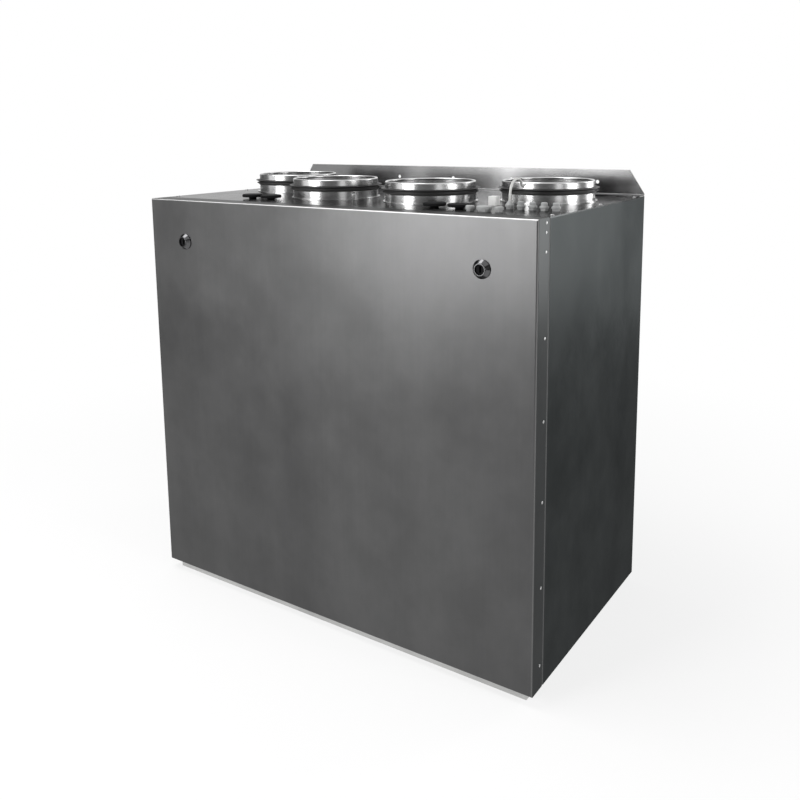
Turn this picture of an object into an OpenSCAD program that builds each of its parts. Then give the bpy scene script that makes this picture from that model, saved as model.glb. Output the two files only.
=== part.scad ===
// Air handling unit with four duct collars on its top, a lift-off door and a wall bracket.
// Millimetres. The origin is the middle of the base, +Z is up and the door faces -Y.

/* [Casing] */
// Width over the side panels
casing_w = 800; // [740:5:1100]
// Depth of the casing behind the door seal
casing_d = 412; // [390:2:600]
// Height of the casing over its top sheet
casing_h = 730; // [500:5:1100]
// Thickness of the insulated panels
panel_t = 30; // [20:1:36]
// Thickness of the top sheet that laps over the panels
sheet_t = 2; // [1:0.5:4]
// Bend radius of the folded outer edges
bend_r = 3; // [1.5:0.5:6]
// Height of the plinth
plinth_h = 18; // [10:1:80]
// Setback of the plinth from the door's face and the casing's back
plinth_setback = 15; // [6:1:60]
// Setback of the plinth from the sides of the casing
plinth_side_setback = 16; // [6:1:60]

/* [Door] */
// Depth of the door tray
door_d = 36; // [30:1:60]
// Thickness of the door's sheet
door_sheet_t = 1.5; // [1:0.5:3]
// Thickness of the seal between door and casing
seal_t = 2; // [1:0.5:5]
// Width of the seal
seal_w = 14; // [8:1:18]
// Setback of the seal from the casing's outer faces
seal_inset = 6; // [2:1:10]

/* [Latches] */
// Distance of the latches from the casing's sides
latch_side = 89; // [60:1:160]
// Distance of the latches below the top
latch_drop = 77; // [50:1:160]
// Diameter of the latch ring's base on the door
ring_base_dia = 29; // [27:0.5:44]
// Diameter of the latch ring's front edge
ring_front_dia = 20; // [19:0.5:26]
// Height of the latch ring over the door
ring_h = 8; // [4:0.5:12]
// Thickness of the latch ring's straight base
ring_base_t = 1.5; // [0.5:0.25:3]
// Roundness of the latch ring's front edge
ring_lip_r = 1; // [0.5:0.1:1.2]
// Diameter of the latch's barrel in the door
barrel_dia = 23; // [20:1:26]
// Diameter of the turning key insert
key_dia = 15.5; // [10:0.5:16]
// Depth of the key insert's face inside the ring
key_recess = 3; // [1:0.5:6]
// Length of the key insert
key_len = 24; // [12:1:34]
// Width of the key insert's slot
key_slot_w = 3.5; // [2:0.25:4]
// Length of the key insert's slot
key_slot_len = 10; // [6:0.5:10]
// Depth of the key insert's slot
key_slot_d = 6; // [3:0.5:10]
// Running clearance round the key insert
key_clear = 0.3; // [0.2:0.05:0.5]

/* [Duct collars] */
// Outer diameter of the collars
collar_dia = 159; // [120:1:165]
// Wall of the collars
collar_wall = 1.2; // [0.8:0.1:2]
// Height of the collars over the top sheet
collar_h = 36; // [33:1:60]
// Distance of the rear collars' axes from the casing's sides
rear_collar_side = 117; // [112:1:140]
// Distance of the rear collars' axes from the casing's back
rear_collar_back = 159; // [120:1:180]
// Distance of the front collars' axes from the middle
front_collar_mid = 105; // [95:1:115]
// Distance of the front collars' axes from the casing's front edge
front_collar_front = 153; // [100:1:170]
// Width of the foot flange that lies on the top sheet
foot_w = 4; // [2:0.5:6]
// Thickness of the foot flange
foot_t = 1.5; // [1:0.1:3]
// Diameter of the rolled rim
rim_roll = 4; // [3:0.5:6]
// Height of the plain band over the gasket
rim_h = 11; // [8:0.5:16]

/* [Gaskets] */
// Height of the gasket's band
gasket_h = 10.5; // [9:0.5:13]
// Depth of the collar's groove that holds the gasket
groove = 1.2; // [0.8:0.1:2]
// Reach of the upper lip past the collar
upper_lip = 7; // [3:0.5:9]
// Reach of the lower lip past the collar
lower_lip = 5; // [2:0.5:9]
// Fitting clearance of pieces that are pushed in or on
fit_gap = 0.2; // [0.1:0.05:0.4]

/* [Wall bracket] */
// Height of the bracket over the top sheet
bracket_h = 47; // [36:1:80]
// Thickness of the bracket's sheet
bracket_t = 2; // [1.5:0.5:4]
// Width that the slanted ends take off at the top
bracket_slant = 28; // [10:1:60]
// Depth of the bracket's foot on the top sheet
bracket_foot = 25; // [15:1:40]
// Inner radius of the bend between the bracket's plate and foot
bracket_bend = 2; // [1:0.5:4]
// Diameter of the wall screw holes
wall_hole_dia = 7; // [5:0.5:10]
// Height of the wall screw holes over the top sheet
wall_hole_z = 24; // [18:1:30]
// Distance of the inner wall screw holes from the middle
wall_hole_inner = 133; // [80:1:200]
// Distance of the outer wall screw holes from the middle
wall_hole_outer = 311; // [240:1:330]

/* [Cable glands] */
// Diameter of a small gland's cap
gland_dia = 14; // [12:0.5:17]
// Height of a rear gland
gland_h = 12.5; // [10:0.5:20]
// Height of a front gland
front_gland_h = 8; // [6:0.5:12]
// Thickness of the glands' six-sided nuts
gland_nut_t = 3; // [2:0.5:4]
// Distance that a gland's nut stays inside its cap
gland_nut_inset = 0.75; // [0.5:0.25:1.5]
// Height of a rear gland's wide shoulder over its nut
gland_shoulder = 4.5; // [3:0.5:6]
// Width of the step from the shoulder to the narrow top
gland_step = 2; // [1:0.25:3]
// Bevel on the edges of the glands' caps
gland_bevel = 1; // [0.5:0.25:1.5]
// Spacing of the rear row
rear_gland_pitch = 19.5; // [18:0.5:22]
// Distance of the rear row from the casing's front edge
rear_gland_front = 82; // [70:1:95]
// Distance of the rear row's last gland from the casing's side
rear_gland_side = 27; // [20:1:40]
// Spacing of the front row
front_gland_pitch = 25; // [23:0.5:30]
// Distance of the front row from the casing's front edge
front_gland_front = 32; // [20:1:40]
// Gap between the front row's first gland and the outer cap beside it
front_gland_gap = 4; // [2:0.5:10]
// Diameter of the wide gland in the middle of the front row
wide_gland_dia = 24; // [18:0.5:25]
// Width of the terminal block
block_w = 15; // [10:1:20]
// Height of the terminal block
block_h = 15; // [12:1:26]
// Corner radius of the terminal block
block_r = 1.5; // [0.5:0.25:3]
// Distance of the terminal block's middle from the casing's side
block_side = 157; // [145:1:165]
// Distance of the terminal block's middle from the casing's front edge
block_front = 129; // [115:1:140]

/* [Caps] */
// Diameter of the flat caps
cap_dia = 38; // [24:1:42]
// Thickness of the flat caps
cap_t = 5; // [3:0.5:10]
// Diameter of the stem under a cap
cap_stem_dia = 14; // [8:0.5:20]
// Height of the stem under a cap
cap_stem_h = 3; // [2:0.5:10]
// Bevel on the edges of a cap
cap_bevel = 1; // [0.5:0.25:1.5]
// Distance of the inner caps from the middle
cap_mid = 176; // [165:1:190]
// Gap between the two caps of a pair
cap_gap = 8; // [4:0.5:14]
// Distance of the caps from the casing's front edge
cap_front = 51; // [40:1:60]

/* [Sensor lead] */
// Diameter of the sensor lead
lead_dia = 4; // [3:0.5:4]
// Clearance round the lead in the collar's wall
lead_clear = 0.7; // [0.6:0.1:1.2]
// Turn of the lead's hole from the front of the collar
lead_turn = -7; // [-20:1:20]
// Diameter of the sensor at the lead's end
sensor_dia = 8; // [6:0.5:10]
// Length of the sensor
sensor_len = 32; // [20:1:50]

/* [Hidden] */
$fn = 96;

// Overshoot of a cutting shape past the face that it cuts
cut = 1;

// Levels and planes of the casing
y_door = -(door_d + seal_t + casing_d) / 2;
y_seal = y_door + door_d;
y_front = y_seal + seal_t;
y_back = y_front + casing_d;
z_bottom = plinth_h;
z_top = plinth_h + casing_h;
side_x = casing_w / 2;

// Places of the collars, latches and small fittings on the casing
rear_collar_x = side_x - rear_collar_side;
rear_collar_y = y_back - rear_collar_back;
front_collar_y = y_front + front_collar_front;
latch_x = side_x - latch_side;
latch_z = z_top - latch_drop;
cap_y = y_front + cap_front;
cap_outer_x = cap_mid + cap_dia + cap_gap;
rear_gland_y = y_front + rear_gland_front;
front_gland_y = y_front + front_gland_front;
front_gland_x = cap_outer_x + (cap_dia + gland_dia) / 2 + front_gland_gap;

// Radii and levels of the collar and its gasket, measured from the top sheet
collar_r = collar_dia / 2;
groove_top = collar_h - rim_h;
groove_bottom = groove_top - gasket_h;

// Rows of glands, counted from the left
rear_gland_count = 5;
front_gland_count = 3;

// The lead arches from the first rear gland to its hole in the rear right collar's band, and the
// sensor hangs from it inside the duct
lead_start = [side_x - rear_gland_side - (rear_gland_count - 1) * rear_gland_pitch,
    rear_gland_y, z_top + gland_h];
lead_inward = [-sin(lead_turn), cos(lead_turn), 0];
lead_hole_z = z_top + (groove_top + collar_wall + collar_h - rim_roll) / 2;
lead_hole = [rear_collar_x, rear_collar_y, lead_hole_z] - collar_r * lead_inward;
lead_end = lead_hole + 24 * lead_inward - [0, 0, 20];
lead_across = [lead_hole[0] - lead_start[0], lead_hole[1] - lead_start[1], 0];
lead_route = [
    lead_start + [0, 0, 6],
    lead_start + 0.05 * lead_across + [0, 0, 18],
    lead_start + 0.16 * lead_across + [0, 0, 26.5],
    lead_start + 0.38 * lead_across + [0, 0, 31],
    lead_start + 0.62 * lead_across + [0, 0, 31],
    lead_start + 0.82 * lead_across + [0, 0, 26],
    lead_hole - 5 * lead_inward + [0, 0, 2.5],
    lead_hole + 1 * lead_inward,
    lead_hole + 14 * lead_inward - [0, 0, 2.5],
    lead_hole + 22 * lead_inward - [0, 0, 8.5],
    lead_end + [0, 0, 4]
];
lead_sides = 10;
lead_steps = 3;

// Outlines

// Rectangle with its two front corners rounded, front edge on y = 0
module folded_outline(w, d, r) {
    translate([-w / 2, r])
        square([w, d - r]);
    translate([-w / 2 + r, 0])
        square([w - 2 * r, 2 * r]);
    for (side = [-1, 1])
        translate([side * (w / 2 - r), r])
            circle(r);
}

// Tray blank with all four front edges rounded, front face on y = 0, standing on z = 0
module folded_block(w, d, h, r) {
    intersection() {
        linear_extrude(h)
            folded_outline(w, d, r);
        translate([-w / 2 - cut, 0, h / 2])
            rotate([90, 0, 90])
                linear_extrude(w + 2 * cut)
                    rotate([0, 0, -90])
                        folded_outline(h, d, r);
    }
}

// Panel from one corner to the opposite one
module slab(low, high) {
    translate(low)
        cube(high - low);
}

// Places a child on one of the four duct axes, at the level of the top sheet
module at_collar(side, front) {
    translate([side * (front ? front_collar_mid : rear_collar_x),
            front ? front_collar_y : rear_collar_y, z_top])
        children();
}

// Places a child on a latch axis, with its z axis pointing out of the door
module at_latch(side) {
    translate([side * latch_x, y_door, latch_z])
        rotate([90, 0, 0])
            children();
}

// Casing

module plinth() {
    color("darkgray")
        slab([-side_x + plinth_side_setback, y_door + plinth_setback, 0],
            [side_x - plinth_side_setback, y_back - plinth_setback, z_bottom]);
}

module bottom_panel() {
    color("silver")
        slab([-side_x + panel_t, y_front, z_bottom],
            [side_x - panel_t, y_back, z_bottom + panel_t]);
}

module side_panel(side) {
    color("dimgray")
        translate([side * (side_x - panel_t / 2), 0, z_bottom])
            linear_extrude(casing_h - sheet_t)
                translate([0, y_front])
                    difference() {
                        translate([-panel_t / 2, 0])
                            square([panel_t, casing_d]);
                        translate([side * panel_t / 2, 0])
                            corner_cut(side);
                    }
}

// What a bend takes off the outer front corner of a side panel
module corner_cut(side) {
    difference() {
        translate([-bend_r, -bend_r])
            square([2 * bend_r, 2 * bend_r]);
        translate([-side * bend_r, bend_r])
            circle(bend_r);
        translate([-side * 2 * bend_r - bend_r, -bend_r])
            square([2 * bend_r, 4 * bend_r]);
        translate([-2 * bend_r, bend_r])
            square([4 * bend_r, bend_r]);
    }
}

module left_panel() {
    side_panel(-1);
}

module right_panel() {
    side_panel(1);
}

module rear_panel() {
    color("silver")
        slab([-side_x + panel_t, y_back - panel_t, z_bottom + panel_t],
            [side_x - panel_t, y_back, z_top - sheet_t]);
}

module top_panel() {
    color("silver")
        difference() {
            union() {
                slab([-side_x, y_front, z_top - sheet_t], [side_x, y_back, z_top]);
                slab([-side_x + panel_t, y_front, z_top - panel_t],
                    [side_x - panel_t, y_back - panel_t, z_top - sheet_t]);
            }
            for (side = [-1, 1], front = [false, true])
                at_collar(side, front)
                    translate([0, 0, -panel_t - cut])
                        cylinder(r = collar_r + fit_gap, h = panel_t + 2 * cut);
        }
}

// Door

module latch_holes() {
    for (side = [-1, 1])
        at_latch(side)
            translate([0, 0, -door_d - cut])
                cylinder(d = barrel_dia + 2 * fit_gap, h = door_d + 2 * cut);
}

module door_skin() {
    color("gray")
        difference() {
            translate([0, y_door, z_bottom])
                folded_block(casing_w, door_d, casing_h, bend_r);
            slab([-side_x + door_sheet_t, y_door + door_sheet_t, z_bottom + door_sheet_t],
                [side_x - door_sheet_t, y_seal + cut, z_top - door_sheet_t]);
            latch_holes();
        }
}

module door_liner() {
    color("lightgray")
        difference() {
            slab([-side_x + door_sheet_t, y_door + door_sheet_t, z_bottom + door_sheet_t],
                [side_x - door_sheet_t, y_seal, z_top - door_sheet_t]);
            latch_holes();
        }
}

module door_seal() {
    color("black")
        difference() {
            slab([-side_x + seal_inset, y_seal, z_bottom + seal_inset],
                [side_x - seal_inset, y_front, z_top - seal_inset]);
            slab([-side_x + seal_inset + seal_w, y_seal - cut, z_bottom + seal_inset + seal_w],
                [side_x - seal_inset - seal_w, y_front + cut, z_top - seal_inset - seal_w]);
        }
}

// Latches

// Half section of a latch ring: a barrel through the door and a cone with a rounded front edge
module latch_ring_section() {
    bore_r = key_dia / 2 + key_clear;
    lip_r = ring_front_dia / 2 - ring_lip_r;
    translate([bore_r, -door_d])
        square([barrel_dia / 2 - bore_r, door_d]);
    translate([bore_r, 0])
        square([ring_base_dia / 2 - bore_r, ring_base_t]);
    polygon([
        [bore_r, ring_base_t],
        [ring_base_dia / 2, ring_base_t],
        [ring_front_dia / 2, ring_h - ring_lip_r],
        [lip_r, ring_h],
        [bore_r, ring_h]
    ]);
    translate([lip_r, ring_h - ring_lip_r])
        circle(ring_lip_r);
}

module latch_ring(side) {
    color("gainsboro")
        at_latch(side)
            rotate_extrude()
                latch_ring_section();
}

module latch_key(side) {
    color("black")
        at_latch(side)
            translate([0, 0, ring_h - key_recess - key_len])
                difference() {
                    cylinder(d = key_dia, h = key_len);
                    translate([-key_slot_w / 2, -key_slot_len / 2, key_len - key_slot_d])
                        cube([key_slot_w, key_slot_len, key_slot_d + cut]);
                }
}

module latch_ring_left() {
    latch_ring(-1);
}

module latch_ring_right() {
    latch_ring(1);
}

module latch_key_left() {
    latch_key(-1);
}

module latch_key_right() {
    latch_key(1);
}

// Duct collars

// Half section of a collar: tube with a foot flange, a gasket groove and a rolled rim
module collar_section() {
    inner_r = collar_r - collar_wall;
    translate([inner_r, -panel_t])
        square([collar_wall, panel_t + groove_bottom]);
    translate([collar_r - cut, 0])
        square([foot_w + cut, foot_t]);
    translate([inner_r - groove, groove_bottom - collar_wall])
        square([collar_wall, gasket_h + 2 * collar_wall]);
    for (step = [groove_bottom - collar_wall, groove_top])
        translate([inner_r - groove, step])
            square([groove + collar_wall, collar_wall]);
    translate([inner_r, groove_top])
        square([collar_wall, rim_h - rim_roll / 2]);
    translate([collar_r - rim_roll / 2, collar_h - rim_roll / 2])
        circle(rim_roll / 2);
}

// Half section of a gasket: a band in the groove with two lips that rise outwards
module gasket_section() {
    band_r = collar_r - groove + fit_gap;
    root_r = collar_r + fit_gap;
    translate([band_r, groove_bottom])
        square([root_r + cut - band_r, gasket_h - fit_gap]);
    for (lip = [[lower_lip, 0], [upper_lip, gasket_h / 2]])
        translate([root_r, groove_bottom + lip[1]])
            polygon([
                [0, gasket_h * 0.05],
                [lip[0], gasket_h * 0.33],
                [lip[0], gasket_h * 0.4],
                [0, gasket_h * 0.42]
            ]);
}

module collar(side, front) {
    color("whitesmoke")
        at_collar(side, front)
            rotate_extrude()
                collar_section();
}

module gasket(side, front) {
    color("black")
        at_collar(side, front)
            rotate_extrude()
                gasket_section();
}

module collar_rear_left() {
    collar(-1, false);
}

module collar_front_left() {
    collar(-1, true);
}

module collar_front_right() {
    collar(1, true);
}

module collar_rear_right() {
    difference() {
        collar(1, false);
        translate(lead_hole - cut * lead_inward)
            rotate([0, 0, lead_turn])
                rotate([-90, 0, 0])
                    cylinder(d = lead_dia + 2 * lead_clear, h = collar_wall + 2 * cut);
    }
}

module gasket_rear_left() {
    gasket(-1, false);
}

module gasket_front_left() {
    gasket(-1, true);
}

module gasket_front_right() {
    gasket(1, true);
}

module gasket_rear_right() {
    gasket(1, false);
}

// Wall bracket

// Section of the folded bracket: plate, bend and foot, with the plate's back on x = 0
module bracket_section() {
    bend = bracket_bend + bracket_t;
    translate([-bracket_t, bend])
        square([bracket_t, bracket_h - bend]);
    translate([-bracket_foot, 0])
        square([bracket_foot - bend, bracket_t]);
    translate([-bend, bend])
        intersection() {
            difference() {
                circle(bend);
                circle(bracket_bend);
            }
            translate([0, -bend])
                square(bend);
        }
}

// What the slant takes off one end of the bracket's plate
module bracket_end(side) {
    low = bracket_bend + bracket_t;
    run = bracket_slant / (bracket_h - low);
    polygon([
        [side * side_x, low],
        [side * (side_x + cut), low],
        [side * (side_x + cut), bracket_h + cut],
        [side * (side_x - bracket_slant - run * cut), bracket_h + cut]
    ]);
}

module wall_bracket() {
    color("lightgray")
        translate([0, y_back, z_top])
            difference() {
                translate([-side_x, 0, 0])
                    rotate([90, 0, 90])
                        linear_extrude(casing_w)
                            bracket_section();
                translate([0, cut, 0])
                    rotate([90, 0, 0])
                        linear_extrude(bracket_t + 2 * cut)
                            for (side = [-1, 1])
                                bracket_end(side);
                for (x = [-wall_hole_outer, -wall_hole_inner, 0, wall_hole_inner, wall_hole_outer])
                    translate([x, cut, wall_hole_z])
                        rotate([90, 0, 0])
                            cylinder(d = wall_hole_dia, h = bracket_t + 2 * cut);
            }
}

// Cable glands and terminal block

// Six-sided nut that holds a gland on the top sheet
module gland_nut(dia) {
    cylinder(d = dia - 2 * gland_nut_inset, h = gland_nut_t, $fn = 6);
}

// Half section of a closed rear gland: a wide shoulder and a narrow top, with bevelled edges
module stepped_section(r) {
    level = gland_nut_t + gland_shoulder;
    top_r = r - gland_step;
    polygon([
        [0, gland_nut_t],
        [r - gland_bevel, gland_nut_t],
        [r, gland_nut_t + gland_bevel],
        [r, level - gland_bevel],
        [top_r, level],
        [top_r, gland_h - gland_bevel],
        [top_r - gland_bevel, gland_h],
        [0, gland_h]
    ]);
}

// Half section of the gland that the lead comes out of: a wide shoulder and a cone
module cone_section(r) {
    polygon([
        [0, gland_nut_t],
        [r - gland_bevel, gland_nut_t],
        [r, gland_nut_t + gland_bevel],
        [r, gland_nut_t + gland_shoulder - gland_bevel],
        [lead_dia / 2 + gland_bevel, gland_h],
        [0, gland_h]
    ]);
}

// Half section of a flat front gland
module flat_section(r) {
    polygon([
        [0, gland_nut_t],
        [r, gland_nut_t],
        [r, front_gland_h - gland_bevel],
        [r - gland_bevel, front_gland_h],
        [0, front_gland_h]
    ]);
}

module rear_gland(index) {
    color("gainsboro")
        translate([side_x - rear_gland_side - (rear_gland_count - index) * rear_gland_pitch,
                rear_gland_y, z_top]) {
            gland_nut(gland_dia);
            rotate_extrude()
                if (index == 1)
                    cone_section(gland_dia / 2);
                else
                    stepped_section(gland_dia / 2);
        }
}

module front_gland(index) {
    dia = index == 2 ? wide_gland_dia : gland_dia;
    color("gainsboro")
        translate([front_gland_x + (index - 1) * front_gland_pitch, front_gland_y, z_top]) {
            gland_nut(dia);
            rotate_extrude()
                flat_section(dia / 2);
        }
}

module gland_rear_1() {
    rear_gland(1);
}

module gland_rear_2() {
    rear_gland(2);
}

module gland_rear_3() {
    rear_gland(3);
}

module gland_rear_4() {
    rear_gland(4);
}

module gland_rear_5() {
    rear_gland(5);
}

module gland_front_1() {
    front_gland(1);
}

module gland_front_2() {
    front_gland(2);
}

module gland_front_3() {
    front_gland(3);
}

// Square with rounded corners, on its middle
module rounded_square(w, r) {
    square([w - 2 * r, w], center = true);
    square([w, w - 2 * r], center = true);
    for (x = [-1, 1], y = [-1, 1])
        translate([x * (w / 2 - r), y * (w / 2 - r)])
            circle(r);
}

module terminal_block() {
    color("white")
        translate([side_x - block_side, y_front + block_front, z_top])
            linear_extrude(block_h)
                rounded_square(block_w, block_r);
}

// Flat caps

// Half section of a cap: a disc with bevelled edges on a stem
module cap_section() {
    r = cap_dia / 2;
    top = cap_stem_h + cap_t;
    square([cap_stem_dia / 2, cap_stem_h + cap_t / 2]);
    polygon([
        [0, cap_stem_h],
        [r - cap_bevel, cap_stem_h],
        [r, cap_stem_h + cap_bevel],
        [r, top - cap_bevel],
        [r - cap_bevel, top],
        [0, top]
    ]);
}

module flat_cap(x) {
    color("black")
        translate([x, cap_y, z_top])
            rotate_extrude()
                cap_section();
}

module cap_left_outer() {
    flat_cap(-cap_outer_x);
}

module cap_left_inner() {
    flat_cap(-cap_mid);
}

module cap_right_inner() {
    flat_cap(cap_mid);
}

module cap_right_outer() {
    flat_cap(cap_outer_x);
}

// Sensor lead

function unit(v) = v / norm(v);

// Point at t from 0 to 1 on the smooth curve between the second and third of four points
function on_curve(a, b, c, d, t) =
    (2 * b + (c - a) * t + (2 * a - 5 * b + 4 * c - d) * t * t
        + (3 * b - a - 3 * c + d) * t * t * t) / 2;

function smooth_route(p, steps) = [
    for (i = [0 : len(p) - 2], k = [0 : steps - 1])
        on_curve(i == 0 ? 2 * p[0] - p[1] : p[i - 1], p[i], p[i + 1],
            i == len(p) - 2 ? 2 * p[i + 1] - p[i] : p[i + 2], k / steps),
    p[len(p) - 1]
];

// Direction of travel at a point of a route
function heading(p, i) = unit(p[min(i + 1, len(p) - 1)] - p[max(i - 1, 0)]);

// Ring of points round one point of a route, square to the direction of travel
function ring(at, along, side, r, sides) =
    let (u = unit(side - (side * along) * along), v = cross(along, u))
    [for (k = [0 : sides - 1]) at + r * (cos(360 * k / sides) * u + sin(360 * k / sides) * v)];

// Round tube along a route that never runs along side
module tube(p, side, r, sides) {
    rings = len(p);
    points = [for (i = [0 : rings - 1]) each ring(p[i], heading(p, i), side, r, sides)];
    walls = [
        for (i = [0 : rings - 2], k = [0 : sides - 1])
            let (a = i * sides + k, b = i * sides + (k + 1) % sides)
            each [[a, b, b + sides], [a, b + sides, a + sides]]
    ];
    first_end = [for (k = [sides - 1 : -1 : 0]) k];
    last_end = [for (k = [0 : sides - 1]) (rings - 1) * sides + k];
    polyhedron(points, concat([first_end], walls, [last_end]));
}

module sensor_lead() {
    color("white")
        tube(concat([lead_start], smooth_route(lead_route, lead_steps), [lead_end]),
            unit([lead_across[1], -lead_across[0], 0]), lead_dia / 2, lead_sides);
}

module sensor_tip() {
    color("lightgray")
        translate(lead_end - [0, 0, sensor_len])
            cylinder(d = sensor_dia, h = sensor_len);
}

plinth();
bottom_panel();
left_panel();
right_panel();
rear_panel();
top_panel();
door_skin();
door_liner();
door_seal();
wall_bracket();
collar_rear_left();
collar_front_left();
collar_front_right();
collar_rear_right();
gasket_rear_left();
gasket_front_left();
gasket_front_right();
gasket_rear_right();
latch_ring_left();
latch_ring_right();
latch_key_left();
latch_key_right();
gland_rear_1();
gland_rear_2();
gland_rear_3();
gland_rear_4();
gland_rear_5();
gland_front_1();
gland_front_2();
gland_front_3();
terminal_block();
cap_left_outer();
cap_left_inner();
cap_right_inner();
cap_right_outer();
sensor_lead();
sensor_tip();
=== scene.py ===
"""Looks of the air handling unit: sensor lead, fasteners, seams, materials, studio and camera.

Metres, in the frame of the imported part: the origin is the middle of the base and the door faces -Y.
"""

import math

import bmesh
import bpy
from mathutils import Matrix, Vector


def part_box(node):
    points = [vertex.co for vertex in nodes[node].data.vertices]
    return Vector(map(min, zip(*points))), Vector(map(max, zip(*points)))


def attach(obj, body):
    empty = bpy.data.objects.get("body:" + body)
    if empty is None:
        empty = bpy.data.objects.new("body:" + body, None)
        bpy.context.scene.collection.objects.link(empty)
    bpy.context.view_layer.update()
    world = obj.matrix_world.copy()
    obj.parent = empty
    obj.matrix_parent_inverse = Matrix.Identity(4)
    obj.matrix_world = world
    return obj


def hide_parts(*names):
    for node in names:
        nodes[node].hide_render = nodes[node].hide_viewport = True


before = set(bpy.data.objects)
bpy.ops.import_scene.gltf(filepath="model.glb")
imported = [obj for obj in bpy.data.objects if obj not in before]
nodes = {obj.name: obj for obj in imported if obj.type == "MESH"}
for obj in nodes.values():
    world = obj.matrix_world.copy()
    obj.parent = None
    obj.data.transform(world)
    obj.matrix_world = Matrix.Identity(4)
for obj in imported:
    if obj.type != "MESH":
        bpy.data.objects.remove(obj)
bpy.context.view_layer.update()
scene = bpy.context.scene

MM = 0.001
UP = Vector((0.0, 0.0, 1.0))
WHITE = (1.0, 1.0, 1.0)


def in_mm(*values):
    """Millimetres in metres."""
    return tuple(value * MM for value in values)


# Levels and planes of the part's solids
DOOR_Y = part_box("door_skin")[0].y
SIDE_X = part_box("door_skin")[1].x
DOOR_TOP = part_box("door_skin")[1].z
TOP_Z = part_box("top_panel")[1].z
BACK_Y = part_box("top_panel")[1].y

# Outer radius of a collar's wall and thickness of the bracket, as in the part's source
COLLAR_RADIUS = 79.5 * MM
BRACKET_THICK = 2.0 * MM

# Camera, fitted to the photograph's corners
CAMERA_PLACE = Vector((0.903, -1.316, 0.876))
CAMERA_YAW = math.radians(-33.98)
CAMERA_PITCH = math.radians(-9.02)
CAMERA_ROLL = math.radians(-0.62)

# The camera's image in pixels: its side, the focal length and the row of the lens axis
IMAGE = 800
FOCAL_LENGTH = 861.0
AXIS_ROW = 264.0

# Width of the camera's sensor, in Blender's own millimetres
SENSOR_WIDTH = 36.0


def add_camera():
    forward = Vector((
        math.sin(CAMERA_YAW) * math.cos(CAMERA_PITCH),
        math.cos(CAMERA_YAW) * math.cos(CAMERA_PITCH),
        math.sin(CAMERA_PITCH),
    ))
    level = Vector((math.cos(CAMERA_YAW), -math.sin(CAMERA_YAW), 0.0))
    upright = level.cross(forward)
    right = level * math.cos(CAMERA_ROLL) + upright * math.sin(CAMERA_ROLL)
    up = upright * math.cos(CAMERA_ROLL) - level * math.sin(CAMERA_ROLL)
    data = bpy.data.cameras.new("camera")
    data.sensor_width = SENSOR_WIDTH
    data.lens = FOCAL_LENGTH / IMAGE * SENSOR_WIDTH
    data.shift_y = (AXIS_ROW - IMAGE / 2) / IMAGE
    camera = bpy.data.objects.new("camera", data)
    turn = Matrix((right, up, -forward)).transposed().to_4x4()
    camera.matrix_world = Matrix.Translation(CAMERA_PLACE) @ turn
    scene.collection.objects.link(camera)
    scene.camera = camera


add_camera()


# Node materials

# Parts of the normal between which the masks of bends, upward bends, sides and fronts fade
BEND_FADE = (0.75, 0.985)
CROWN_FADE = (0.1, 0.4)
SIDE_FADE = (0.8, 0.98)
FRONT_FADE = (0.9, 0.98)


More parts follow.
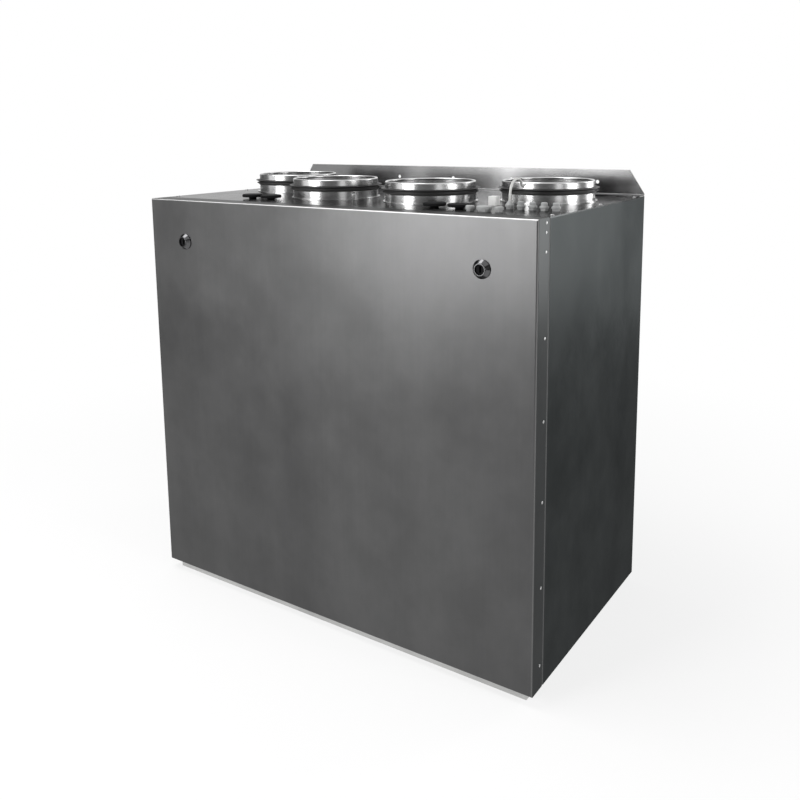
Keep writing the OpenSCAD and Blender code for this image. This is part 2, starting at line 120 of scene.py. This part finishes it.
class Maker:
    """Builds one node material: each method adds nodes, and most return a socket that feeds the next."""

    def __init__(self, name):
        self.material = bpy.data.materials.new(name)
        self.material.use_nodes = True
        self.tree = self.material.node_tree
        self.tree.nodes.clear()
        out = self.node("ShaderNodeOutputMaterial")
        self.shader = self.node("ShaderNodeBsdfPrincipled")
        self.feed(out.inputs["Surface"], self.shader.outputs[0])
        self.coord = self.node("ShaderNodeTexCoord").outputs["Object"]

    def node(self, kind, **values):
        made = self.tree.nodes.new(kind)
        for key, value in values.items():
            setattr(made, key, value)
        return made

    def feed(self, socket, value):
        """Sets a number or a colour on a socket, or links another socket to it."""
        if isinstance(value, (int, float, tuple)):
            socket.default_value = value
        else:
            self.tree.links.new(value, socket)

    def noise(self, scale, detail, stretch=(1.0, 1.0, 1.0), rough=0.5):
        place = self.node("ShaderNodeMapping")
        self.feed(place.inputs["Vector"], self.coord)
        self.feed(place.inputs["Scale"], stretch)
        made = self.node("ShaderNodeTexNoise")
        self.feed(made.inputs["Vector"], place.outputs[0])
        self.feed(made.inputs["Scale"], scale)
        self.feed(made.inputs["Detail"], detail)
        self.feed(made.inputs["Roughness"], rough)
        return made.outputs["Fac"]

    def ramp(self, factor, low, high, start=0.3, end=0.7):
        """A colour that goes from low to high while factor goes from start to end."""
        made = self.node("ShaderNodeValToRGB")
        self.feed(made.inputs["Fac"], factor)
        for element, at, color in zip(made.color_ramp.elements, (start, end), (low, high)):
            element.position = at
            element.color = (*color, 1.0)
        return made.outputs["Color"]

    def span(self, factor, low, high, start=0.3, end=0.7):
        """A number that goes from low to high while factor goes from start to end."""
        made = self.node("ShaderNodeMapRange")
        self.feed(made.inputs["Value"], factor)
        self.feed(made.inputs["From Min"], start)
        self.feed(made.inputs["From Max"], end)
        self.feed(made.inputs["To Min"], low)
        self.feed(made.inputs["To Max"], high)
        return made.outputs["Result"]

    def math(self, kind, first, second=0.0):
        made = self.node("ShaderNodeMath", operation=kind)
        self.feed(made.inputs[0], first)
        self.feed(made.inputs[1], second)
        return made.outputs[0]

    def blend(self, kind, factor, first, second):
        """Two colours in one: the mix node keeps those sockets as its inputs 6 and 7 and its output 2."""
        made = self.node("ShaderNodeMix", data_type="RGBA", blend_type=kind)
        self.feed(made.inputs[0], factor)
        self.feed(made.inputs[6], first)
        self.feed(made.inputs[7], second)
        return made.outputs[2]

    def bump(self, height, distance, under=None):
        """A normal with a pattern of this height, laid over the normal under it."""
        made = self.node("ShaderNodeBump")
        self.feed(made.inputs["Strength"], 1.0)
        self.feed(made.inputs["Distance"], distance)
        self.feed(made.inputs["Height"], height)
        if under is not None:
            self.feed(made.inputs["Normal"], under)
        return made.outputs["Normal"]

    def facing(self):
        """The normal's three parts."""
        parts = self.node("ShaderNodeSeparateXYZ")
        self.feed(parts.inputs[0], self.node("ShaderNodeNewGeometry").outputs["Normal"])
        return parts.outputs

    def bends(self):
        """Three masks from the normal, which place painted highlight and shade: rounded bends, bends that
        face up, and faces to the left and right.
        """
        parts = self.facing()
        x, y, z = (self.math("ABSOLUTE", part) for part in parts)
        most = self.math("MAXIMUM", self.math("MAXIMUM", x, y), z)
        bend = self.span(most, 1.0, 0.0, *BEND_FADE)
        painted_crown_light = self.math("MULTIPLY", bend, self.span(parts[2], 0.0, 1.0, *CROWN_FADE))
        return bend, painted_crown_light, self.span(x, 0.0, 1.0, *SIDE_FADE)

    def set(self, **values):
        """Feeds the shader's sockets, named with _ for a space."""
        for key, value in values.items():
            self.feed(self.shader.inputs[key.replace("_", " ")], value)


def grey(value):
    return (value, value, value)


def shade(color, by):
    return tuple(min(1.0, part * by) for part in color)


# Stretch of fine lines: up a sheet, across it, round a collar and along a latch
ROLLED_UP = (1.0, 1.0, 0.02)
ROLLED_ACROSS = (0.02, 1.0, 1.0)
ROUND_COLLAR = (0.05, 0.05, 1.0)
ALONG_LATCH = (1.0, 0.05, 1.0)

# Sheet metal: darkest tints of its patterns, and where the patterns fade
FLECK = (0.96, 0.96, 0.965)
BAND = (0.90, 0.90, 0.905)
BRUSHED = grey(0.975)
# Darkest tint of the flecks in the painted highlight and shade on bends
BEND_LIGHT_FLECK = 0.9
CLOUD_FADE = (0.28, 0.72)
BAND_FADE = (0.32, 0.68)
STAIN_FADE = (0.34, 0.66)

# Sheet metal: how far each pattern moves the roughness, and the ripple's share of the wave's height
SPANGLE_GLOSS = 0.012
LINE_GLOSS = 0.006
CLOUD_GLOSS = 0.02
STAIN_GLOSS = 0.025
BEND_GLOSS = 0.16
RIPPLE = 0.3


def sheet_metal(name, color, rough, streak=ROLLED_UP, spread=0.06, stain=0.10, wave=0.6 * MM,
                grain=0.002 * MM, edge=1.0, painted_bend_light=None, painted_crown_light=None, side=None):
    """Rolled sheet: cloudy tone, soft bands, faint stains, fine streaks along one axis and a slight wave.

    spread is how far the tone strays from color, and stain how much the stains take off it. wave and grain
    are the heights of the wave and of the streaks. edge is the sheet's tint when it is seen aslant. The bend
    colours are painted light: on all bends and on those that face up, a lighter colour is a painted highlight
    and a darker one painted shade. side is a painted shade, a darker tone on the faces to the left and right.
    """
    make = Maker(name)
    cloud = make.noise(scale=3.2, detail=4.0)
    bands = make.noise(scale=7.0, detail=3.0, stretch=(1.5, 1.5, 0.22))
    stains = make.noise(scale=11.0, detail=4.0, stretch=(1.0, 1.0, 0.75), rough=0.58)
    spangle = make.noise(scale=46.0, detail=3.0, rough=0.6)
    lines = make.noise(scale=300.0, detail=1.0, stretch=streak)
    bend, upward_bend, side_shade_mask = make.bends()

    base = make.ramp(cloud, shade(color, 1.0 - spread), shade(color, 1.0 + spread), *CLOUD_FADE)
    # Painted shade: the faces to the left and right get a darker tone than the rest of the sheet
    if side:
        side_shade_tone = make.ramp(cloud, shade(side, 1.0 - spread), side, *CLOUD_FADE)
        base = make.blend("MIX", side_shade_mask, base, side_shade_tone)
    patterns = (
        make.ramp(spangle, FLECK, WHITE),
        make.ramp(bands, BAND, WHITE, *BAND_FADE),
        make.ramp(lines, BRUSHED, WHITE),
        make.ramp(stains, grey(1.0 - stain), WHITE, *STAIN_FADE),
    )
    for pattern in patterns:
        base = make.blend("MULTIPLY", 1.0, base, pattern)

    gloss = make.span(spangle, rough - SPANGLE_GLOSS, rough + SPANGLE_GLOSS)
    for pattern, reach in ((lines, LINE_GLOSS), (cloud, CLOUD_GLOSS), (stains, STAIN_GLOSS)):
        gloss = make.math("ADD", gloss, make.span(pattern, -reach, reach))

    # Painted highlight or painted shade on the bends: a lighter colour than the sheet paints a highlight, a
    # darker one paints shade
    if painted_bend_light:
        base = make.blend("MIX", bend, base, make.ramp(spangle, shade(painted_bend_light, BEND_LIGHT_FLECK), painted_bend_light))
        gloss = make.math("ADD", gloss, make.math("MULTIPLY", bend, BEND_GLOSS))
    # Painted highlight or painted shade on the bends that face up: the door's top edge gets a painted white
    # highlight, the casing's a painted shade
    if painted_crown_light:
        base = make.blend("MIX", upward_bend, base, make.ramp(spangle, shade(painted_crown_light, BEND_LIGHT_FLECK), painted_crown_light))

    normal = make.bump(make.noise(scale=2.6, detail=1.0), wave)
    normal = make.bump(make.noise(scale=11.0, detail=0.0), RIPPLE * wave, normal)
    normal = make.bump(lines, grain, normal)
    make.set(
        Base_Color=base, Metallic=1.0, Roughness=gloss, Normal=normal, Specular_Tint=(edge, edge, edge, 1.0),
    )
    return make.material


# Polished metal: tints of its dull marks and of its fine lines, and how far they move the roughness
MARKED = 0.94
MARK_FADE = (0.35, 0.65)
LINED = grey(0.95)
MARK_GLOSS = (-0.02, 0.03)
LINED_GLOSS = 0.01


def polished(name, color, rough, stretch=ROUND_COLLAR, grain=0.01 * MM, front_shade=None):
    """Bright turned or rolled metal: fine lines and small dull marks, and a painted shade: a darker colour,
    when given, on flat faces that point forward or back.
    """
    make = Maker(name)
    lines = make.noise(scale=900.0, detail=2.0, stretch=stretch)
    marks = make.noise(scale=60.0, detail=5.0, rough=0.65)
    base = make.ramp(marks, shade(color, MARKED), color, *MARK_FADE)
    base = make.blend("MULTIPLY", 1.0, base, make.ramp(lines, LINED, WHITE))
    # Painted shade: flat faces that point forward or back get a darker colour than the rest of the metal
    if front_shade:
        front = make.span(make.math("ABSOLUTE", make.facing()[1]), 0.0, 1.0, *FRONT_FADE)
        base = make.blend("MIX", front, base, make.ramp(marks, shade(front_shade, MARKED), front_shade, *MARK_FADE))
    gloss = make.span(marks, rough + MARK_GLOSS[0], rough + MARK_GLOSS[1])
    gloss = make.math("ADD", gloss, make.span(lines, -LINED_GLOSS, LINED_GLOSS))
    make.set(Base_Color=base, Metallic=1.0, Roughness=gloss, Normal=make.bump(lines, grain))
    return make.material


# Moulded plastic and rubber: depth of the pits, stray of the tone, and how far both move the roughness
PIT = 0.06 * MM
PATCH_STRAY = 0.08
PATCH_FADE = (0.3, 0.75)
PATCH_GLOSS = 0.06
PIT_GLOSS = 0.03


def moulded(name, color, rough, dust=None, shine=0.5):
    """Moulded plastic or rubber: fine pitted skin, uneven gloss and patches, which dust gives a colour."""
    make = Maker(name)
    skin = make.noise(scale=1400.0, detail=2.0)
    patch = make.noise(scale=55.0, detail=4.0, rough=0.6)
    pale = dust or shade(color, 1.0 + PATCH_STRAY)
    tone = make.ramp(patch, shade(color, 1.0 - PATCH_STRAY), pale, *PATCH_FADE)
    gloss = make.span(patch, rough - PATCH_GLOSS, rough + PATCH_GLOSS)
    gloss = make.math("ADD", gloss, make.span(skin, -PIT_GLOSS, PIT_GLOSS))
    make.set(Base_Color=tone, Roughness=gloss, Normal=make.bump(skin, PIT), Specular_IOR_Level=shine)
    return make.material


# Colours of the sheets, with painted shade for their sides and painted highlight and shade for their bends
DOOR = grey(0.112)
CASING = (0.070, 0.0742, 0.0742)
TOP = grey(0.25)
BRACKET = grey(0.24)
PLINTH = (0.55, 0.55, 0.54)
# Painted shade for the faces to the left and right
PAINTED_SIDE_SHADE = (0.071, 0.074, 0.074)
# Painted highlight on the bends of the door and casing, lighter than their sheets
DOOR_BEND_HIGHLIGHT = grey(0.17)
CASING_BEND_HIGHLIGHT = grey(0.14)
# Painted shade (darker) and painted highlight (lighter) for bends and for bends that face up
PAINTED_EDGE_SHADE = grey(0.06)
PAINTED_EDGE_HIGHLIGHT = grey(0.65)

# Colours of the fittings
COLLAR = grey(0.60)
CHROME = (0.115, 0.115, 0.118)
# Painted shade on the latch ring's flat fronts, darker than its chrome
CHROME_FRONT_SHADE = (0.045, 0.045, 0.046)
RIVET = grey(0.45)
RUBBER = grey(0.016)
RUBBER_DUST = grey(0.030)
BLACK = (0.008, 0.008, 0.009)
BLACK_DUST = grey(0.012)
GLAND = (0.29, 0.295, 0.295)
GLAND_DUST = (0.36, 0.365, 0.365)
BLOCK = (0.72, 0.72, 0.71)
SHEATH = (0.52, 0.52, 0.51)

# In the sheet finishes, the bend and upward-bend colours are painted highlight and painted shade, and the
# side colour is painted shade
materials = {
    "door": sheet_metal(
        "door_sheet", DOOR, rough=0.335, spread=0.08, stain=0.14, edge=0.5,
        painted_bend_light=DOOR_BEND_HIGHLIGHT, painted_crown_light=PAINTED_EDGE_HIGHLIGHT, side=PAINTED_SIDE_SHADE,
    ),
    "casing": sheet_metal(
        "casing_sheet", CASING, rough=0.36, stain=0.15, edge=0.38, painted_bend_light=CASING_BEND_HIGHLIGHT, painted_crown_light=PAINTED_EDGE_SHADE,
    ),
    "top": sheet_metal(
        "top_sheet", TOP, rough=0.19, streak=ROLLED_ACROSS, wave=0.3 * MM, edge=0.5,
        painted_bend_light=PAINTED_EDGE_SHADE, side=PAINTED_SIDE_SHADE,
    ),
    "bracket": sheet_metal(
        "bracket_sheet", BRACKET, rough=0.23, streak=ROLLED_ACROSS, grain=0.001 * MM, edge=0.7,
        painted_bend_light=PAINTED_EDGE_SHADE,
    ),
    "plinth": sheet_metal("plinth_sheet", PLINTH, rough=0.45, streak=ROLLED_ACROSS),
    "collar": polished("collar_sheet", COLLAR, rough=0.24, grain=0.003 * MM),
    "chrome": polished("latch_chrome", CHROME, rough=0.13, stretch=ALONG_LATCH, front_shade=CHROME_FRONT_SHADE),
    "rivet": polished("rivet_steel", RIVET, rough=0.28),
    "rubber": moulded("gasket_rubber", RUBBER, rough=0.55, dust=RUBBER_DUST),
    "black": moulded("black_plastic", BLACK, rough=0.72, dust=BLACK_DUST, shine=0.06),
    "grey": moulded("gland_plastic", GLAND, rough=0.45, dust=GLAND_DUST),
    "white": moulded("block_plastic", BLOCK, rough=0.35),
    "sheath": moulded("lead_sheath", SHEATH, rough=0.40),
}

# Finish of each node, by its name or by how its name starts
NODE_FINISH = {
    "plinth": "plinth", "bottom_panel": "casing", "left_panel": "casing", "right_panel": "casing",
    "rear_panel": "casing", "top_panel": "top", "door_skin": "door", "door_liner": "casing",
    "door_seal": "rubber", "wall_bracket": "bracket", "terminal_block": "white", "sensor_lead": "sheath",
    "sensor_tip": "rivet",
}
PREFIX_FINISH = {
    "collar_": "collar", "gasket_": "rubber", "latch_ring": "chrome", "latch_key": "black",
    "gland_": "grey", "cap_": "black",
}


def finish_of(name):
    for prefix, finish in PREFIX_FINISH.items():
        if name.startswith(prefix):
            return finish
    return NODE_FINISH[name]


for name, node in nodes.items():
    node.data.materials.clear()
    node.data.materials.append(materials[finish_of(name)])


def outward(angle):
    """Level direction at an angle from the front, counted towards +X."""
    return Vector((math.sin(angle), -math.cos(angle), 0.0))


# Sensor lead, in the millimetres of the part's source: its gland, and its collar's middle at the hole
LEAD_START = Vector((295.0, -105.0, 760.5))
LEAD_COLLAR = Vector((283.0, 66.0, 777.1))

# Turn of the lead's hole from the front, and steps from one point of the route to the next
LEAD_TURN = math.radians(-7.0)
LEAD_STEPS = 3

# Thickness of the lead, and radius and roundness of the sheath that stands for it
SHEATH_RADIUS = 1.97 * MM
SHEATH_ROUNDNESS = 6


def smooth_point(before, start, end, after, share):
    """Point between start and end on the smooth curve through four points."""
    square = (2 * before - 5 * start + 4 * end - after) * share ** 2
    cube = (3 * start - before - 3 * end + after) * share ** 3
    return (2 * start + (end - before) * share + square + cube) / 2


def lead_points():
    """The route's points, which are those of the part's source and so are worked out in millimetres."""
    start = LEAD_START
    inward = -outward(LEAD_TURN)
    hole = LEAD_COLLAR - COLLAR_RADIUS / MM * inward
    across = Vector((hole.x - start.x, hole.y - start.y, 0.0))
    end = hole + 24.0 * inward - 20.0 * UP
    knots = [
        start + 6.0 * UP,
        start + 0.05 * across + 18.0 * UP,
        start + 0.16 * across + 26.5 * UP,
        start + 0.38 * across + 31.0 * UP,
        start + 0.62 * across + 31.0 * UP,
        start + 0.82 * across + 26.0 * UP,
        hole - 5.0 * inward + 2.5 * UP,
        hole + inward,
        hole + 14.0 * inward - 2.5 * UP,
        hole + 22.0 * inward - 8.5 * UP,
        end + 4.0 * UP,
    ]
    first = 2 * knots[0] - knots[1]
    last = 2 * knots[-1] - knots[-2]
    guides = [first, *knots, last]
    route = [start]
    for four in zip(guides, guides[1:], guides[2:], guides[3:]):
        route += [smooth_point(*four, step / LEAD_STEPS) for step in range(LEAD_STEPS)]
    route += [knots[-1], end]
    return [point * MM for point in route]


def add_lead():
    route = lead_points()
    curve = bpy.data.curves.new("sensor_lead_sheath", "CURVE")
    curve.dimensions = "3D"
    curve.bevel_depth = SHEATH_RADIUS
    curve.bevel_resolution = SHEATH_ROUNDNESS
    curve.use_fill_caps = True
    spline = curve.splines.new("POLY")
    spline.points.add(len(route) - 1)
    for point, at in zip(spline.points, route):
        point.co = (*at, 1.0)
    spline.use_smooth = True
    lead = bpy.data.objects.new("sensor_lead_sheath", curve)
    lead.data.materials.append(materials["sheath"])
    scene.collection.objects.link(lead)
    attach(lead, "unit")
    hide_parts("sensor_lead")


add_lead()


# Fasteners and seams

# Rivets down the door's side returns, as deep below its top as the photograph shows
DOOR_RIVET_DROPS = in_mm(7.0, 21.0, 49.0, 175.0, 300.0, 425.0, 562.0, 690.0)
DOOR_RIVET_SETBACK = 26.0 * MM
DOOR_RIVET_RADIUS = 2.4 * MM
DOOR_RIVET_HEIGHT = 0.9 * MM

# Screws along the top sheet's left and right edges; the head's radii and heights end in its socket
SCREW_INSET = 7.0 * MM
SCREW_Y = in_mm(-164.0, 26.0, 190.0)
SCREW_HEAD = (
    in_mm(3.2, 0.0), in_mm(3.2, 0.5), in_mm(2.7, 1.2), in_mm(1.5, 1.5), in_mm(1.3, 0.7), in_mm(0.0, 0.7),
)
SCREW_SIDES = 24

# Rivets low on the bracket's plate
BRACKET_RIVET_X = in_mm(-308.0, -131.0, 131.0, 308.0)
BRACKET_RIVET_RISE = 10.0 * MM
BRACKET_RIVET_RADIUS = 3.0 * MM
BRACKET_RIVET_HEIGHT = 1.2 * MM

# Upright lap seam on each collar's wall, at an angle from the front, with a rivet on it and one opposite
SEAM_ANGLES = {"rear_left": 150.0, "front_left": 62.0, "front_right": -58.0, "rear_right": 100.0}
SEAM_HALF = math.radians(2.0)
SEAM_FOOT = TOP_Z + 1.6 * MM
SEAM_TOP = TOP_Z + 13.1 * MM
SEAM_THICK = 0.4 * MM
SEAM_END_SHARE = 0.35
SEAM_STEPS = 8
STUD_Z = TOP_Z + 7.5 * MM
STUD_SINK = 0.1 * MM
STUD_RADIUS = 2.2 * MM
STUD_HEIGHT = 1.0 * MM

# Rivet heads: the upright edge's share of the height, and the steps up the dome and round it
HEAD_EDGE = 0.25
HEAD_STEPS = 4
HEAD_SIDES = 20


def add_piece(name, shape, finish):
    mesh = bpy.data.meshes.new(name)
    bmesh.ops.recalc_face_normals(shape, faces=shape.faces[:])
    shape.to_mesh(mesh)
    shape.free()
    for polygon in mesh.polygons:
        polygon.use_smooth = True
    piece = bpy.data.objects.new(name, mesh)
    mesh.materials.append(materials[finish])
    scene.collection.objects.link(piece)
    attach(piece, "unit")


def turned(shape, at, axis, profile, sides=HEAD_SIDES):
    """Adds a solid of revolution: profile is (radius, height) from its foot up, and ends on the axis."""
    axis = Vector(axis).normalized()
    side = axis.orthogonal().normalized()
    other = axis.cross(side)
    angles = [2 * math.pi * step / sides for step in range(sides)]
    rings = []
    for radius, height in profile[:-1]:
        centre = Vector(at) + axis * height
        rings.append([
            shape.verts.new(centre + radius * (math.cos(angle) * side + math.sin(angle) * other))
            for angle in angles
        ])
    tip = shape.verts.new(Vector(at) + axis * profile[-1][1])
    for low, high in zip(rings, rings[1:]):
        for step in range(sides):
            after = (step + 1) % sides
            shape.faces.new((low[step], low[after], high[after], high[step]))
    for step in range(sides):
        shape.faces.new((rings[-1][step], rings[-1][(step + 1) % sides], tip))
    shape.faces.new(rings[0][::-1])


def dome(radius, height):
    """Profile of a rivet head: a short upright edge and a low dome."""
    edge = HEAD_EDGE * height
    angles = [math.pi / 2 * step / HEAD_STEPS for step in range(HEAD_STEPS)]
    arc = [(radius * math.cos(angle), edge + (height - edge) * math.sin(angle)) for angle in angles]
    return [(radius, 0.0), *arc, (0.0, height)]


def add_door_rivets():
    shape = bmesh.new()
    head = dome(DOOR_RIVET_RADIUS, DOOR_RIVET_HEIGHT)
    for side in (-1, 1):
        for drop in DOOR_RIVET_DROPS:
            foot = (side * SIDE_X, DOOR_Y + DOOR_RIVET_SETBACK, DOOR_TOP - drop)
            turned(shape, foot, (side, 0, 0), head)
    add_piece("door_rivets", shape, "rivet")


def add_top_screws():
    shape = bmesh.new()
    for side in (-1, 1):
        for y in SCREW_Y:
            foot = (side * (SIDE_X - SCREW_INSET), y, TOP_Z)
            turned(shape, foot, UP, SCREW_HEAD, SCREW_SIDES)
    add_piece("top_screws", shape, "rivet")


def add_bracket_rivets():
    shape = bmesh.new()
    head = dome(BRACKET_RIVET_RADIUS, BRACKET_RIVET_HEIGHT)
    for x in BRACKET_RIVET_X:
        foot = (x, BACK_Y - BRACKET_THICK, TOP_Z + BRACKET_RIVET_RISE)
        turned(shape, foot, (0, -1, 0), head)
    add_piece("bracket_rivets", shape, "rivet")


def lap_seam(shape, centre, middle):
    """Adds a thin curved strip on a collar's wall, thinner at its two upright ends."""
    loops = []
    for step in range(SEAM_STEPS + 1):
        out = outward(middle - SEAM_HALF + 2 * SEAM_HALF * step / SEAM_STEPS)
        rise = SEAM_THICK if 0 < step < SEAM_STEPS else SEAM_END_SHARE * SEAM_THICK
        section = ((SEAM_FOOT, 0.0), (SEAM_FOOT, rise), (SEAM_TOP, rise), (SEAM_TOP, 0.0))
        loops.append([
            shape.verts.new(Vector((*centre, z)) + out * (COLLAR_RADIUS + depth))
            for z, depth in section
        ])
    for near, far in zip(loops, loops[1:]):
        for corner in range(len(near)):
            after = (corner + 1) % len(near)
            shape.faces.new((near[corner], near[after], far[after], far[corner]))
    shape.faces.new(loops[0])
    shape.faces.new(loops[-1][::-1])


def add_collar_seams():
    strips = bmesh.new()
    studs = bmesh.new()
    head = dome(STUD_RADIUS, STUD_HEIGHT)
    for name, degrees in SEAM_ANGLES.items():
        low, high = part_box("collar_" + name)
        centre = ((low.x + high.x) / 2, (low.y + high.y) / 2)
        angle = math.radians(degrees)
        lap_seam(strips, centre, angle)
        for stud_angle, depth in ((angle, SEAM_THICK), (angle + math.pi, -STUD_SINK)):
            out = outward(stud_angle)
            foot = Vector((*centre, STUD_Z)) + out * (COLLAR_RADIUS + depth)
            turned(studs, foot, out, head)
    add_piece("collar_seams", strips, "collar")
    add_piece("collar_rivets", studs, "rivet")


add_door_rivets()
add_top_screws()
add_bracket_rivets()
add_collar_seams()


# Studio: pale floor, white surroundings, soft panels and the dim side of the room behind the camera

# Light panels: azimuth from the front in degrees, distance from the middle, height, size and radiance
PANELS = {
    "panel_front": (-21.8, 2.6, 1.02, (1.0, 1.75), 8.5),
    "panel_right": (86.0, 2.6, 1.10, (0.9, 1.6), 6.0),
    "panel_back": (142.0, 2.8, 0.78, (0.75, 1.4), 6.3),
    "panel_left": (-50.0, 2.8, 0.95, (1.1, 1.5), 1.0),
    "panel_room": (54.0, 3.0, 1.2, (0.8, 1.5), 1.5),
    "panel_top": (-60.0, 1.0, 2.9, (1.6, 1.6), 5.0),
}
PANEL_AIM = Vector((0.0, 0.0, 0.55))

# Strength of the white surroundings, as a light and as they are seen
SKY_LIGHT = 0.35
SKY_SEEN = 1.0

# Floor: half its side, its paint, and the share of white over the paint, which grows between two distances
FLOOR_HALF = 30.0
FLOOR_PAINT = (0.90, 0.90, 0.90, 1.0)
FLOOR_WHITE_NEAR = 0.76
FLOOR_NEAR = 0.5
FLOOR_FAR = 1.7

# Dim wall on the camera's side: its two azimuths in degrees, radius, height, facets and paint
WALL_START = -115.0
WALL_END = 125.0
WALL_RADIUS = 3.4
WALL_HEIGHT = 3.0
WALL_STEPS = 40
WALL_PAINT = (0.16, 0.16, 0.16, 1.0)
WALL_ROUGH = 0.9


def ring_point(azimuth, radius, z):
    """Point in the room, at an azimuth in degrees from the front."""
    angle = math.radians(azimuth)
    return Vector((radius * math.sin(angle), -radius * math.cos(angle), z))


def add_panel_light(name, azimuth, radius, z, size, radiance):
    data = bpy.data.lights.new(name, "AREA")
    data.shape = "RECTANGLE"
    data.size, data.size_y = size
    data.energy = radiance * math.pi * size[0] * size[1]
    light = bpy.data.objects.new(name, data)
    light.location = ring_point(azimuth, radius, z)
    light.rotation_euler = (PANEL_AIM - light.location).to_track_quat("-Z", "Y").to_euler()
    scene.collection.objects.link(light)


def seen_ray(tree):
    """1 on the rays that see the white surroundings: camera, glossy and transmission rays."""
    path = tree.nodes.new("ShaderNodeLightPath")
    seen = path.outputs["Is Camera Ray"]
    for kind in ("Is Glossy Ray", "Is Transmission Ray"):
        either = tree.nodes.new("ShaderNodeMath")
        either.operation = "MAXIMUM"
        tree.links.new(seen, either.inputs[0])
        tree.links.new(path.outputs[kind], either.inputs[1])
        seen = either.outputs[0]
    return seen


def add_world():
    world = bpy.data.worlds.new("studio")
    scene.world = world
    world.use_nodes = True
    tree = world.node_tree
    tree.nodes.clear()
    out = tree.nodes.new("ShaderNodeOutputWorld")
    mix = tree.nodes.new("ShaderNodeMixShader")
    tree.links.new(seen_ray(tree), mix.inputs["Fac"])
    for place, strength in ((1, SKY_LIGHT), (2, SKY_SEEN)):
        sky = tree.nodes.new("ShaderNodeBackground")
        sky.inputs["Color"].default_value = (*WHITE, 1.0)
        sky.inputs["Strength"].default_value = strength
        tree.links.new(sky.outputs[0], mix.inputs[place])
    tree.links.new(mix.outputs[0], out.inputs["Surface"])


def floor_paint():
    """Pale paint that keeps the part's shadow and fades to white further out."""
    material = bpy.data.materials.new("floor_paint")
    material.use_nodes = True
    tree = material.node_tree
    tree.nodes.clear()
    new = tree.nodes.new
    link = tree.links.new
    out = new("ShaderNodeOutputMaterial")
    paint = new("ShaderNodeBsdfDiffuse")
    paint.inputs["Color"].default_value = FLOOR_PAINT
    white = new("ShaderNodeEmission")
    white.inputs["Strength"].default_value = SKY_SEEN
    mix = new("ShaderNodeMixShader")
    distance = new("ShaderNodeVectorMath")
    distance.operation = "LENGTH"
    share = new("ShaderNodeMapRange")
    share.interpolation_type = "SMOOTHSTEP"
    share.inputs["From Min"].default_value = FLOOR_NEAR
    share.inputs["From Max"].default_value = FLOOR_FAR
    share.inputs["To Min"].default_value = FLOOR_WHITE_NEAR
    seen_share = new("ShaderNodeMath")
    seen_share.operation = "MULTIPLY"
    link(new("ShaderNodeNewGeometry").outputs["Position"], distance.inputs[0])
    link(distance.outputs["Value"], share.inputs["Value"])
    link(share.outputs["Result"], seen_share.inputs[0])
    link(seen_ray(tree), seen_share.inputs[1])
    link(seen_share.outputs[0], mix.inputs["Fac"])
    link(paint.outputs[0], mix.inputs[1])
    link(white.outputs[0], mix.inputs[2])
    link(mix.outputs[0], out.inputs["Surface"])
    return material


def add_floor():
    corners = [(x * FLOOR_HALF, y * FLOOR_HALF, 0.0) for x, y in ((-1, -1), (1, -1), (1, 1), (-1, 1))]
    mesh = bpy.data.meshes.new("floor")
    mesh.from_pydata(corners, [], [(0, 1, 2, 3)])
    floor = bpy.data.objects.new("floor", mesh)
    scene.collection.objects.link(floor)
    mesh.materials.append(floor_paint())


def add_room_wall():
    """Dim curved wall on the camera's side of the room: it shows in the metal and nowhere else."""
    verts = []
    faces = []
    for step in range(WALL_STEPS + 1):
        azimuth = WALL_START + (WALL_END - WALL_START) * step / WALL_STEPS
        verts += [ring_point(azimuth, WALL_RADIUS, 0.0), ring_point(azimuth, WALL_RADIUS, WALL_HEIGHT)]
        if step:
            faces.append((2 * step - 2, 2 * step - 1, 2 * step + 1, 2 * step))
    mesh = bpy.data.meshes.new("room_wall")
    mesh.from_pydata(verts, [], faces)
    wall = bpy.data.objects.new("room_wall", mesh)
    scene.collection.objects.link(wall)
    wall.visible_camera = False
    wall.visible_diffuse = False
    wall.visible_shadow = False
    material = bpy.data.materials.new("room_paint")
    material.use_nodes = True
    paint = material.node_tree.nodes["Principled BSDF"]
    paint.inputs["Base Color"].default_value = WALL_PAINT
    paint.inputs["Roughness"].default_value = WALL_ROUGH
    mesh.materials.append(material)


for name, values in PANELS.items():
    add_panel_light(name, *values)
add_world()
add_floor()
add_room_wall()

scene.view_settings.view_transform = "Standard"
